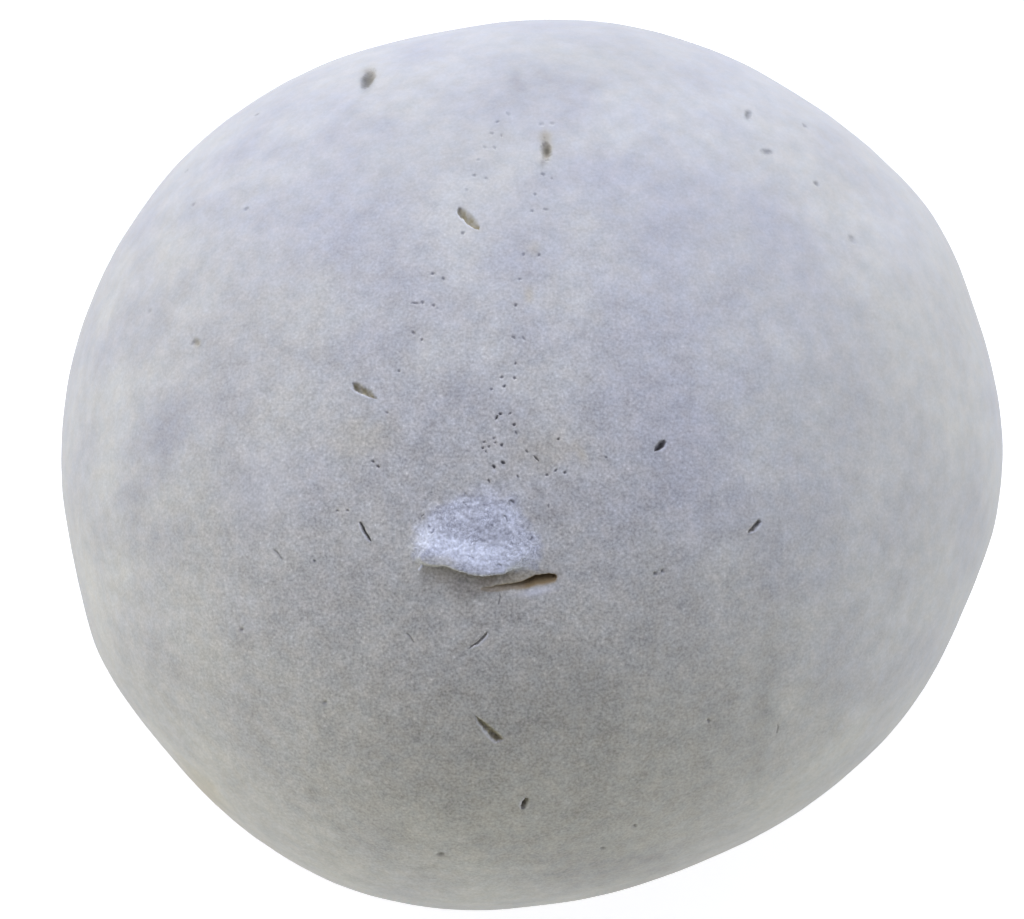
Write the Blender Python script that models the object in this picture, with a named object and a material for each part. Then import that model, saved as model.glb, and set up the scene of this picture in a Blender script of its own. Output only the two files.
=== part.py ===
"""Fossil sea urchin: the stone cast of the inside of a helmet-shaped urchin, in one piece.

The cast lies mouth side up on a small worn flat.  +Z is up, and +Y runs from the mouth
towards the crown, which is round the far side.  The origin is on the flat's level, under
the middle of the outline.  Sizes below are in millimetres and angles in degrees.
"""

import math

import bmesh
import bpy
import numpy as np
from mathutils import Matrix, Vector

MM = 0.001

# The body.  Its outline is at the widest level, as (angle from +X, radius).
OUTLINE = [
    (0, 30.92), (20, 30.85), (32, 31.02), (42, 30.50), (54, 29.87), (72, 29.56), (90, 29.18),
    (100, 28.97), (120, 29.70), (140, 30.47), (164, 30.86), (182, 30.80), (193, 30.70),
    (204, 30.92), (218, 30.46), (232, 30.43), (249, 30.20), (260, 29.63), (271, 28.96),
    (295, 28.47), (314, 29.08), (330, 29.68), (341, 29.91), (352, 30.57),
]
RISE = 27.5
DROP = 26.5
ROUNDNESS = 2.12
TOP_LEAN = (-2.5, -5.4)
FLAT_DEPTH = 0.8
BODY_SUBDIVISIONS = 5

# Places on the mouth side are (x, y) where the line of sight from an eye this far above the
# widest level crosses that level.
SIGHT_HEIGHT = 375.0

# The mouth's sediment plug: its edge, and how far it stands proud along its two long sides.
PLUG_EDGE = [
    (-7.8, -5.7), (-7.2, -6.6), (-6.1, -7.0), (-4.5, -7.25), (-3.0, -7.4), (-0.8, -7.15),
    (0.4, -6.9), (0.8, -5.9), (0.3, -4.6), (-0.4, -3.3), (-1.1, -2.2), (-2.8, -1.4),
    (-4.5, -2.1), (-6.3, -2.8), (-7.3, -3.5),
]
PLUG_MIDDLE = (-3.4, -5.0)
PLUG_PROUD_LIP = 0.85
PLUG_PROUD_BACK = 0.16
PLUG_ROOT = 0.9

# Slits and hollows: (x, y, length, width, turn, depth).
LIP_SLITS = [
    (-1.15, -7.75, 5.7, 0.85, 9.0, 1.3),
    (-5.4, -7.15, 3.6, 0.55, -13.0, 0.45),
]
PITS = [
    (-10.7, 25.5, 1.35, 0.80, 86.0, 0.70),
    (0.95, 20.6, 1.60, 0.70, 103.0, 0.80),
    (-4.25, 16.25, 1.95, 0.68, -41.0, 0.70),
    (-10.95, 4.70, 1.90, 0.52, -27.0, 0.60),
    (8.45, 1.20, 1.00, 0.45, 37.0, 0.55),
    (14.65, -4.15, 1.20, 0.30, 47.0, 0.40),
    (-10.95, -4.50, 1.30, 0.26, -61.0, 0.35),
    (-3.55, -11.7, 1.55, 0.20, 38.0, 0.30),
    (-2.95, -17.45, 2.25, 0.52, -44.0, 0.60),
    (-0.50, -22.35, 0.95, 0.50, 78.0, 0.50),
    (-22.1, 7.95, 0.70, 0.50, 70.0, 0.30),
    (15.5, 20.55, 0.65, 0.38, 5.0, 0.25),
    (21.2, 14.75, 0.75, 0.55, 125.0, 0.20),
    (14.3, 23.0, 0.55, 0.42, 0.0, 0.20),
    (-18.8, 16.75, 0.50, 0.38, 60.0, 0.20),
]

# Pores that show on the mouth side, as two broken columns of pairs.
LEFT_PORES = [
    (-1.50, 22.95), (-2.20, 22.50), (-2.70, 21.80), (-2.00, 21.60), (-3.15, 20.90),
    (-2.40, 20.80), (-3.55, 20.00), (-3.80, 19.00), (-3.00, 18.85), (-4.30, 18.00),
    (-4.50, 15.20), (-6.55, 12.50), (-5.75, 12.10), (-7.90, 10.60), (-7.20, 10.60),
    (-6.45, 10.40), (-7.80, 8.60), (-7.25, 8.15), (-8.75, 6.10), (-9.50, 3.35),
    (-10.45, 0.15), (-10.10, -0.20), (-12.80, -3.10), (-12.10, -3.10), (-14.30, -6.40),
]
RIGHT_PORES = [
    (0.75, 19.05), (1.30, 18.85), (0.25, 17.80), (0.05, 16.65), (0.80, 16.75), (-0.50, 13.75),
    (0.50, 13.75), (-0.75, 12.20), (-1.10, 10.40), (-1.35, 8.30), (-0.55, 8.20), (-1.00, 6.65),
    (-1.95, 5.65), (-1.10, 5.65), (-1.80, 5.15), (-2.60, 4.90), (-2.20, 3.25), (-1.40, 3.35),
    (-1.15, 2.65), (-1.00, 2.05), (-2.00, 1.25), (-3.15, 1.45), (-3.25, 1.00), (-1.95, 0.05),
    (-2.55, -0.20), (0.30, 0.45), (1.75, 1.65), (1.00, -0.70), (2.20, -0.55),
]
PORE_RADIUS = 0.13
PORE_DEPTH = 0.30
PORE_SIDES = 4

# Stray dents of the mouth side: (x, y, radius).
DENTS = [
    (18.0, 22.25, 0.22), (18.75, 18.45, 0.24), (-22.3, 17.05, 0.18), (-18.15, 23.05, 0.18),
    (-22.75, 19.3, 0.18), (-25.15, 10.0, 0.18), (-5.95, -25.75, 0.30), (6.8, -23.85, 0.22),
    (4.7, -25.3, 0.20), (11.65, -16.95, 0.16), (-19.1, -10.95, 0.16), (-13.6, -15.75, 0.16),
    (8.15, -7.25, 0.14), (8.6, -7.1, 0.14),
]
DENT_DEPTH = 0.22

# The crown, out of sight round the far side, and the five double columns that run from it.
# Each band has its heading and how fast its two columns part.
CROWN_DIRECTION = (0.01, 0.70, -0.71)
CROWN_TO_FIRST_PAIR = 3.4
PAIRS_PER_COLUMN = 7
FIRST_PAIR_STEP = 1.30
PAIR_STEP_GROWTH = 0.045
COLUMN_START = 0.55
PAIR_GAP = 0.72
BANDS = [(0.0, 0.035), (70.0, 0.115), (143.0, 0.115), (-143.0, 0.115), (-70.0, 0.115)]
CROWN_HOLES = [(1.25, 40.0), (1.25, -40.0), (1.35, 138.0), (1.35, -138.0)]
CROWN_HOLE_RADIUS = 0.24
CROWN_HOLE_DEPTH = 0.35

# The vent, at the other end from the crown.
VENT_DIRECTION = (-0.04, -0.93, -0.37)
VENT_SIZE = (4.4, 3.2, 0.55)
VENT_CORE_SIZE = (2.9, 1.9, 0.50)

STONE_COLOUR = (0.42, 0.43, 0.46, 1.0)
STONE_ROUGHNESS = 0.9


def remove_objects():
    for thing in list(bpy.data.objects):
        bpy.data.objects.remove(thing, do_unlink=True)


def outline_radius(angles):
    """The outline's radius at each angle in radians: a smooth closed curve through OUTLINE."""
    knots = np.array([angle for angle, _ in OUTLINE], float)
    radii = np.array([radius for _, radius in OUTLINE], float)
    count = len(knots)
    gaps = np.diff(np.append(knots, knots[0] + 360.0))
    slopes = (np.roll(radii, -1) - radii) / gaps
    before = np.roll(gaps, 1)
    tangents = (np.roll(slopes, 1) * gaps + slopes * before) / (before + gaps)
    turned = np.mod(np.degrees(angles), 360.0)
    index = np.clip(np.searchsorted(knots, turned, side="right") - 1, 0, count - 1)
    after = (index + 1) % count
    gap = gaps[index]
    t = (turned - knots[index]) / gap
    return (
        radii[index] * (2 * t**3 - 3 * t**2 + 1)
        + tangents[index] * gap * (t**3 - 2 * t**2 + t)
        + radii[after] * (3 * t**2 - 2 * t**3)
        + tangents[after] * gap * (t**3 - t**2)
    )


def upright_points(directions):
    """Where unit directions from the middle of the widest level would meet an unleaning skin."""
    unit = np.atleast_2d(np.asarray(directions, float))
    across = np.hypot(unit[:, 0], unit[:, 1])
    reach = outline_radius(np.arctan2(unit[:, 1], unit[:, 0]))
    height = np.where(unit[:, 2] > 0.0, RISE, DROP)
    inverse = (across / reach) ** ROUNDNESS + (np.abs(unit[:, 2]) / height) ** ROUNDNESS
    return unit * (inverse ** (-1.0 / ROUNDNESS))[:, None]


def lean_at(heights):
    """How far the body leans sideways at heights above its widest level, as (x, y) rows."""
    share = (np.maximum(heights, 0.0) / RISE) ** 2
    return np.multiply.outer(share, np.array(TOP_LEAN))


def body_points(directions):
    """The skin's points for unit directions, in millimetres from the middle of the widest level."""
    points = upright_points(directions)
    points[:, :2] += lean_at(points[:, 2])
    return points


def skin_frame(direction):
    """The skin's point along a direction, and its outward normal."""
    away = np.array(direction, float)
    away /= np.linalg.norm(away)
    side = np.cross(away, (0.31, 0.22, 0.92))
    side /= np.linalg.norm(side)
    other = np.cross(away, side)
    nudge = 1e-3
    nearby = [away, away + nudge * side, away + nudge * other]
    here, one, two = body_points([near / np.linalg.norm(near) for near in nearby])
    normal = np.cross(one - here, two - here)
    normal /= np.linalg.norm(normal)
    return here, normal if normal @ away > 0 else -normal


def direction_to(x, y):
    """The direction of the skin's point on the line of sight through (x, y)."""
    eye = np.array([0.0, 0.0, SIGHT_HEIGHT])
    sight = np.array([x, y, 0.0]) - eye
    inside, outside = 1.0, 0.85
    for _ in range(50):
        middle = 0.5 * (inside + outside)
        point = eye + middle * sight
        point[:2] -= lean_at(point[2])
        distance = np.linalg.norm(point)
        unit = point / distance
        if distance < np.linalg.norm(upright_points(unit)[0]):
            inside = middle
        else:
            outside = middle
    return unit


def object_from(name, bm):
    mesh = bpy.data.meshes.new(name)
    bm.to_mesh(mesh)
    bm.free()
    thing = bpy.data.objects.new(name, mesh)
    bpy.context.scene.collection.objects.link(thing)
    return thing


def as_guide(thing):
    thing.hide_render = True
    thing.display_type = "WIRE"
    return thing


def make_body():
    """The smooth body with its worn flat, in metres, its widest level at z = 0."""
    bm = bmesh.new()
    bmesh.ops.create_icosphere(bm, subdivisions=BODY_SUBDIVISIONS, radius=1.0)
    directions = np.array([vert.co.normalized() for vert in bm.verts])
    for vert, point in zip(bm.verts, body_points(directions)):
        vert.co = Vector(point) * MM
    level = (-DROP + FLAT_DEPTH) * MM
    whole = bm.verts[:] + bm.edges[:] + bm.faces[:]
    cut = bmesh.ops.bisect_plane(
        bm, geom=whole, plane_co=(0, 0, level), plane_no=(0, 0, -1), clear_outer=True
    )
    rim = [piece for piece in cut["geom_cut"] if isinstance(piece, bmesh.types.BMEdge)]
    bmesh.ops.holes_fill(bm, edges=rim)
    bmesh.ops.recalc_face_normals(bm, faces=bm.faces)
    return object_from("urchin_mould", bm)


def frame_matrix(point, along, across, normal):
    """A placing matrix in metres from a point and three sized axes in millimetres."""
    columns = Matrix((along, across, normal)).transposed().to_4x4()
    return Matrix.Translation(Vector(point) * MM) @ Matrix.Scale(MM, 4) @ columns


def add_hollow(bm, matrix):
    """An egg-shaped cutter, one unit in radius before its matrix sizes it."""
    bmesh.ops.create_icosphere(bm, subdivisions=2, radius=1.0, matrix=matrix)


def add_pit(bm, x, y, length, width, turn, depth):
    """A hollow whose plan is the given ellipse, whatever the skin's tilt there."""
    angle = math.radians(turn)
    reach = 0.5 * length * np.array([math.cos(angle), math.sin(angle)])
    aside = 0.5 * width * np.array([-math.sin(angle), math.cos(angle)])
    middle, normal = skin_frame(direction_to(x, y))
    ends = [body_points(direction_to(x + s * reach[0], y + s * reach[1]))[0] for s in (-1, 1)]
    sides = [body_points(direction_to(x + s * aside[0], y + s * aside[1]))[0] for s in (-1, 1)]
    along = 0.5 * (ends[1] - ends[0])
    across = 0.5 * (sides[1] - sides[0])
    across -= along * (across @ along) / (along @ along)
    add_hollow(bm, frame_matrix(middle, along, across, normal * depth))


def add_drill(bm, point, normal, radius, depth):
    """A pyramid-shaped drill whose mouth has the given radius where it meets the skin."""
    proud = 0.5 * depth
    total = proud + depth
    turn = Vector((0, 0, -1)).rotation_difference(Vector(normal) * -1.0)
    seat = Vector(point) + Vector(normal) * (proud - 0.5 * total)
    matrix = Matrix.Translation(seat * MM) @ turn.to_matrix().to_4x4() @ Matrix.Scale(MM, 4)
    bmesh.ops.create_cone(
        bm,
        cap_ends=True,
        segments=PORE_SIDES,
        radius1=0.0,
        radius2=radius * total / depth,
        depth=total,
        matrix=matrix,
    )


def crown_frame():
    """The crown's unit direction, the heading of its front band, and the heading to its side."""
    away = np.array(CROWN_DIRECTION) / np.linalg.norm(CROWN_DIRECTION)
    front = np.array([0.0, 0.0, 1.0]) - away * away[2]
    front /= np.linalg.norm(front)
    return away, front, np.cross(away, front)


def from_crown(distance, heading, aside=0.0):
    """The direction reached by going out from the crown, then stepping aside, on a mean sphere."""
    away, front, side = crown_frame()
    mean_radius = 0.5 * (RISE + OUTLINE[0][1])
    turn = math.radians(heading)
    ahead = math.cos(turn) * front + math.sin(turn) * side
    square = np.cross(away, ahead)
    angle = distance / mean_radius
    place = math.cos(angle) * away + math.sin(angle) * ahead
    slip = aside / mean_radius
    return math.cos(slip) * place + math.sin(slip) * square


def crown_pores():
    """The directions of the pores in the five double columns near the crown."""
    for heading, spread in BANDS:
        for column in (-1, 1):
            distance = CROWN_TO_FIRST_PAIR
            step = FIRST_PAIR_STEP
            for _ in range(PAIRS_PER_COLUMN):
                off = column * (COLUMN_START + spread * distance)
                for end in (-0.5, 0.5):
                    yield from_crown(distance, heading, off + end * PAIR_GAP)
                distance += step
                step += PAIR_STEP_GROWTH


def make_pores():
    """All the small drilled pores, in one cutter."""
    bm = bmesh.new()
    for x, y in LEFT_PORES + RIGHT_PORES:
        add_drill(bm, *skin_frame(direction_to(x, y)), PORE_RADIUS, PORE_DEPTH)
    for x, y, radius in DENTS:
        add_drill(bm, *skin_frame(direction_to(x, y)), radius, DENT_DEPTH)
    for direction in crown_pores():
        add_drill(bm, *skin_frame(direction), PORE_RADIUS, PORE_DEPTH)
    for distance, heading in CROWN_HOLES:
        place = skin_frame(from_crown(distance, heading))
        add_drill(bm, *place, CROWN_HOLE_RADIUS, CROWN_HOLE_DEPTH)
    return as_guide(object_from("pore_cutter", bm))


def make_pits():
    """The slit-like pits and the crease under the mouth's lip, in one cutter."""
    bm = bmesh.new()
    for pit in PITS + LIP_SLITS:
        add_pit(bm, *pit)
    return as_guide(object_from("pit_cutter", bm))


def plug_proud(x, y):
    """How far the plug stands out of the skin: most along its lower lip, least at its back."""
    low = min(spot[1] for spot in PLUG_EDGE)
    high = max(spot[1] for spot in PLUG_EDGE)
    share = (y - low) / (high - low)
    return PLUG_PROUD_LIP + (PLUG_PROUD_BACK - PLUG_PROUD_LIP) * share**0.8


def make_plug():
    """The sediment plug that fills the mouth: a low lump, steep at its lower lip."""
    rings = [(0.90, -PLUG_ROOT, 0.0), (1.00, 0.0, 0.30), (0.86, 0.0, 0.95), (0.5, 0.0, 1.2)]
    bm = bmesh.new()
    loops = []
    for scale, sunk, share in rings:
        loop = []
        for x, y in PLUG_EDGE:
            px = PLUG_MIDDLE[0] + scale * (x - PLUG_MIDDLE[0])
            py = PLUG_MIDDLE[1] + scale * (y - PLUG_MIDDLE[1])
            point, normal = skin_frame(direction_to(px, py))
            height = sunk + share * plug_proud(x, py)
            loop.append(bm.verts.new(Vector(point + normal * height) * MM))
        loops.append(loop)
    for lower, upper in zip(loops, loops[1:]):
        for i in range(len(lower)):
            j = (i + 1) % len(lower)
            bm.faces.new((lower[i], lower[j], upper[j], upper[i]))
    bm.faces.new(loops[0])
    top_point, top_normal = skin_frame(direction_to(*PLUG_MIDDLE))
    top = bm.verts.new(Vector(top_point + top_normal * 1.15 * plug_proud(*PLUG_MIDDLE)) * MM)
    for i in range(len(loops[-1])):
        bm.faces.new((loops[-1][i], loops[-1][(i + 1) % len(loops[-1])], top))
    bmesh.ops.triangulate(bm, faces=bm.faces)
    bmesh.ops.recalc_face_normals(bm, faces=bm.faces)
    return as_guide(object_from("plug_lump", bm))


def add_egg(bm, direction, size, sink):
    """An egg-shaped lump seated on the skin, its long side level."""
    point, normal = skin_frame(direction)
    level = np.cross((0.0, 0.0, 1.0), normal)
    level /= np.linalg.norm(level)
    upright = np.cross(normal, level)
    length, width, depth = size
    seat = point - normal * sink
    add_hollow(bm, frame_matrix(seat, level * length / 2, upright * width / 2, normal * depth))


def make_vent_hollow():
    bm = bmesh.new()
    add_egg(bm, VENT_DIRECTION, VENT_SIZE, 0.0)
    return as_guide(object_from("vent_cutter", bm))


def make_vent_core():
    bm = bmesh.new()
    add_egg(bm, VENT_DIRECTION, VENT_CORE_SIZE, VENT_SIZE[2])
    return as_guide(object_from("vent_core", bm))


def add_boolean(thing, other, operation):
    modifier = thing.modifiers.new(other.name, "BOOLEAN")
    modifier.operation = operation
    modifier.solver = "EXACT"
    modifier.object = other


def stone():
    material = bpy.data.materials.new("weathered_stone")
    material.use_nodes = True
    shader = material.node_tree.nodes["Principled BSDF"]
    shader.inputs["Base Color"].default_value = STONE_COLOUR
    shader.inputs["Roughness"].default_value = STONE_ROUGHNESS
    shader.inputs["Metallic"].default_value = 0.0
    return material


def stand_on_flat(things):
    """Lift everything so that the flat is at z = 0 and the outline's box is centred."""
    body = things[0]
    points = np.array([vert.co for vert in body.data.vertices])
    low = points.min(axis=0)
    high = points.max(axis=0)
    shift = Vector((-(low[0] + high[0]) / 2, -(low[1] + high[1]) / 2, -low[2]))
    for thing in things:
        thing.data.transform(Matrix.Translation(shift))


def main():
    remove_objects()
    body = make_body()
    plug = make_plug()
    pits = make_pits()
    vent = make_vent_hollow()
    core = make_vent_core()
    pores = make_pores()
    stand_on_flat([body, plug, pits, vent, core, pores])
    add_boolean(body, plug, "UNION")
    add_boolean(body, pits, "DIFFERENCE")
    add_boolean(body, vent, "DIFFERENCE")
    add_boolean(body, core, "UNION")
    add_boolean(body, pores, "DIFFERENCE")
    body.data.materials.append(stone())
    body.data.shade_smooth()
    body.data.set_sharp_from_angle(angle=math.radians(35.0))


main()
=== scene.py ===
"""The looks of the fossil sea urchin: one fine stone mesh, which stands for the faceted solid.

Lengths are in millimetres until the mesh is placed, and places on the mouth side are (x, y)
on the fossil's widest level, along lines of sight from the camera.
"""

import math

import bmesh
import bpy
import numpy as np
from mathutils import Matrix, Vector, noise


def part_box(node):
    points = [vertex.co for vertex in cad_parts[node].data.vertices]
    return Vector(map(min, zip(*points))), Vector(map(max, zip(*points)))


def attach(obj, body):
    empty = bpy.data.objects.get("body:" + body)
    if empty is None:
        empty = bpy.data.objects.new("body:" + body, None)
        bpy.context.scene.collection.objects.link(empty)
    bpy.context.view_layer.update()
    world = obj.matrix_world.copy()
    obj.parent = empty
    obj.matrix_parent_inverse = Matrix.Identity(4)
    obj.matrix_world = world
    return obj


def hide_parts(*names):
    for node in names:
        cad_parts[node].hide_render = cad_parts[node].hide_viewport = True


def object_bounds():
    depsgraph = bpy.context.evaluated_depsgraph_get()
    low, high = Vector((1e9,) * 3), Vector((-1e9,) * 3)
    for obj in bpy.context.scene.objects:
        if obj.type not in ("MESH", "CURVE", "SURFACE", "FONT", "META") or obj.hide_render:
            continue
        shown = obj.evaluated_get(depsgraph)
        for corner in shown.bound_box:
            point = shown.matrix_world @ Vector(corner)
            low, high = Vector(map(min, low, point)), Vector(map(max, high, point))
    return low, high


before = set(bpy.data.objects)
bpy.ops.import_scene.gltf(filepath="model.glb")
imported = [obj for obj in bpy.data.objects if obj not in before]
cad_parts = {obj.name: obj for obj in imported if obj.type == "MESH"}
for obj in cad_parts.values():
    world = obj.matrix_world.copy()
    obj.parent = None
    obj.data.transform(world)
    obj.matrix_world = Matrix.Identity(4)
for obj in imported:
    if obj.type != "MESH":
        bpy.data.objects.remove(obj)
cad_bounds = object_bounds()

NODE = "urchin_mould"
SLOT = "weathered_stone"
MM = 0.001

# The photograph's frame, in pixels, and the fossil's middle in it.
IMAGE_SIZE = (1024, 919)
MIDDLE_PIXEL = (532.6, 463.8)
MM_PER_PIXEL = 0.0659

# The body, as in the solid: (angle in degrees, radius), and heights from the widest level.
OUTLINE = [
    (0, 30.92), (20, 30.85), (32, 31.02), (42, 30.5), (54, 29.87), (72, 29.56), (90, 29.18),
    (100, 28.97), (120, 29.7), (140, 30.47), (164, 30.86), (182, 30.8), (193, 30.7),
    (204, 30.92), (218, 30.46), (232, 30.43), (249, 30.2), (260, 29.63), (271, 28.96),
    (295, 28.47), (314, 29.08), (330, 29.68), (341, 29.91), (352, 30.57),
]
RISE = 27.5
DROP = 26.5
ROUNDNESS = 2.12
TOP_LEAN = (-2.5, -5.4)
FLAT_DEPTH = 0.8
SIGHT_HEIGHT = 375.0

# Mesh fineness: edge lengths on the mouth side and round the back, how fast they grow away
# from a feature, how far past them an edge is halved, and (how far the fineness reaches, edge
# length) for each kind of feature.
FRONT_EDGE = 0.62
BACK_EDGE = 0.8
BACK_LEVEL = -6.0
EDGE_GROWTH = 0.42
HALVED_PAST = 1.35
SPLIT_PASSES = 5
FINE = {
    "pore": (0.17, 0.07), "dent": (0.0, 0.1), "hairline": (0.1, 0.065), "pit": (0.22, 0.08),
    "plug": (0.75, 0.1), "lip": (0.75, 0.08), "slit": (0.55, 0.065), "vent": (3.0, 0.3),
    "crown pore": (0.18, 0.1), "crown hole": (0.3, 0.12),
}

# Unevenness of the whole skin: (height, size, place in the noise).
SWELLS = [(0.1, 11.0, 3.1), (0.03, 2.4, 8.4)]

# The mouth plug, as in the solid but with a finer edge.
PLUG_EDGE = [
    (-8.0, -4.95), (-8.02, -5.75), (-7.8, -6.38), (-7.2, -6.66), (-6.35, -6.76),
    (-5.65, -6.76), (-5.05, -6.87), (-4.5, -7.07), (-3.9, -7.22), (-3.25, -7.28),
    (-2.6, -7.25), (-1.95, -7.17), (-1.3, -7.05), (-0.55, -7.05), (0.2, -6.95),
    (0.72, -6.5), (0.82, -5.75), (0.62, -4.95), (0.25, -4.25), (-0.35, -3.2),
    (-0.85, -2.2), (-2.0, -1.6), (-3.3, -1.4), (-4.7, -1.85), (-6.3, -2.4),
    (-7.35, -3.2), (-7.85, -4.1),
]
PLUG_MIDDLE = (-3.4, -5.0)
PLUG_HEIGHT = 0.7
PLUG_LIP_OVERHANG = 0.21

# The plug's whitest band with its half-width, and a bare wedge: (x, y, half-length, half-width).
WHITE_LINE = [
    (-7.16, -4.89), (-5.84, -5.42), (-4.78, -5.68), (-3.2, -6.1), (-2.02, -6.15), (-0.8, -6.05),
]
WHITE_REACH = 0.95
BARE_PATCH = (-6.2, -6.45, 1.3, 0.42)

# The lip's lower edge, and how far the brown stain, which also paints the lip's shadow, reaches
# below it.
LIP_LINE = [
    (-7.7, -6.45, 0.7), (-7.1, -6.66, 1.15), (-6.35, -6.78, 1.3), (-5.6, -6.8, 1.4),
    (-5.0, -6.92, 1.6), (-4.5, -7.1, 1.85), (-3.9, -7.25, 1.9), (-3.25, -7.3, 1.5),
    (-2.6, -7.27, 1.1), (-1.95, -7.18, 1.05), (-1.3, -7.08, 1.0), (-0.55, -7.05, 1.0),
    (0.2, -6.97, 0.95), (0.9, -6.98, 0.8), (1.6, -7.15, 0.5),
]
CREASE_DEPTH = 0.14
CREASE_UNDERCUT = 0.1

# The slit under the lip: its middle line with half-widths, and how deep it goes there.
SLIT_LINE = [
    (-3.2, -8.28, 0.1, 0.03), (-2.9, -8.27, 0.15, 0.08), (-2.2, -8.2, 0.2, 0.2),
    (-1.25, -8.12, 0.23, 0.3), (-0.5, -8.0, 0.27, 0.5), (-0.05, -7.85, 0.31, 0.8),
    (0.6, -7.66, 0.36, 0.72), (1.07, -7.6, 0.34, 0.72), (1.38, -7.58, 0.28, 0.6),
]
SLIT_UNDERCUT = 0.15

# Slit-like pits: (x, y, length, width, turn, depth, how ochre, how much shade is painted at
# the foot of the wall, how much wider towards the far end, how far bent in the middle).
PITS = [
    (-4.15, 16.2, 1.95, 0.66, -45.0, 0.32, 0.95, 0.12, 0.0, 0.0),
    (-10.97, 4.78, 1.9, 0.52, -31.0, 0.3, 0.95, 0.0, -0.4, 0.0),
    (8.47, 1.2, 0.92, 0.48, 42.0, 0.55, 0.3, 0.8, 0.0, 0.0),
    (14.65, -4.15, 1.15, 0.34, 47.0, 0.33, 0.4, 0.5, 0.1, 0.0),
    (-10.9, -4.5, 1.5, 0.22, -61.0, 0.35, 0.3, 0.65, 0.0, 0.05),
    (-3.5, -11.6, 1.65, 0.18, 42.0, 0.22, 0.3, 0.45, 0.2, 0.1),
    (-2.85, -17.45, 2.38, 0.5, -44.0, 0.3, 1.0, 0.0, 0.5, 0.0),
    (-0.42, -22.4, 0.82, 0.44, -112.0, 0.45, 0.7, 0.8, 0.0, 0.0),
]

# Soft dimples high up the mouth side: (x, y, length, width, turn, depth).
DIMPLES = [
    (-10.8, 25.4, 1.4, 0.9, 75.0, 0.25), (0.95, 20.6, 1.5, 0.75, -85.0, 0.28),
    (-22.1, 7.95, 0.7, 0.6, 70.0, 0.12), (15.45, 20.5, 0.8, 0.45, 0.0, 0.14),
    (21.1, 14.75, 0.8, 0.5, -60.0, 0.1), (14.25, 22.95, 0.7, 0.5, 80.0, 0.14),
    (-18.8, 16.75, 0.4, 0.36, 0.0, 0.1),
]
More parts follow.
